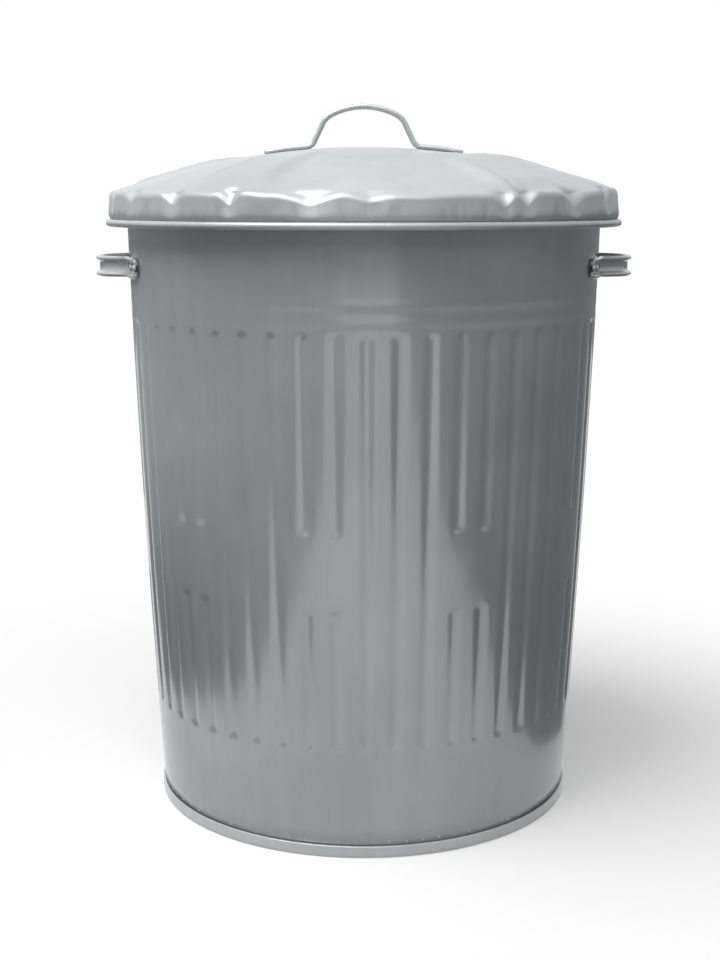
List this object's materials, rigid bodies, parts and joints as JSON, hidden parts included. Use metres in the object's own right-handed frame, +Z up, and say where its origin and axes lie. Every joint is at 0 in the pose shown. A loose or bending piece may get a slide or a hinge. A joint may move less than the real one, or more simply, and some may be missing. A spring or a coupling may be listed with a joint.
{
  "type": "trash can with lid",
  "caption": "Round tapered sheet-steel bin with pressed vertical flutes, two side handles and a domed lift-off lid with a strap handle.",
  "frame": {"origin": "centre of the base, on the floor", "axes": "+Z up along the bin's axis; -Y is the front; +X and -X are the sides with the handles"},
  "size_m": [0.5276, 0.5026, 0.6865],
  "materials": {
    "wall_steel": "semi-gloss grey over zinc",
    "lid_steel": "semi-gloss pale grey over zinc",
    "strap_steel": "semi-gloss grey over zinc",
    "wire_steel": "drawn wire",
    "rivet_steel": "zinc plated"
  },
  "bodies": {
    "bin": {"body_shell": "wall_steel", "base_pan": "wall_steel", "base_hoop": "wall_steel", "rim_wire": "wire_steel", "side_handle_left": "strap_steel", "side_handle_right": "strap_steel", "side_rivet_left_1": "rivet_steel", "side_rivet_left_2": "rivet_steel", "side_rivet_left_3": "rivet_steel", "side_rivet_left_4": "rivet_steel", "side_rivet_right_1": "rivet_steel", "side_rivet_right_2": "rivet_steel", "side_rivet_right_3": "rivet_steel", "side_rivet_right_4": "rivet_steel"},
    "lid": {"lid_shell": "lid_steel", "lid_bead_wire": "wire_steel", "lid_handle": "strap_steel", "lid_rivet_1": "rivet_steel", "lid_rivet_2": "rivet_steel", "lid_rivet_3": "rivet_steel", "lid_rivet_4": "rivet_steel"}
  },
  "joints": [
    {"name": "lid_lift", "type": "slide", "parent": "bin", "child": "lid", "axis": [0, 0, 1], "range_m": [0, 0.3]}
  ]
}
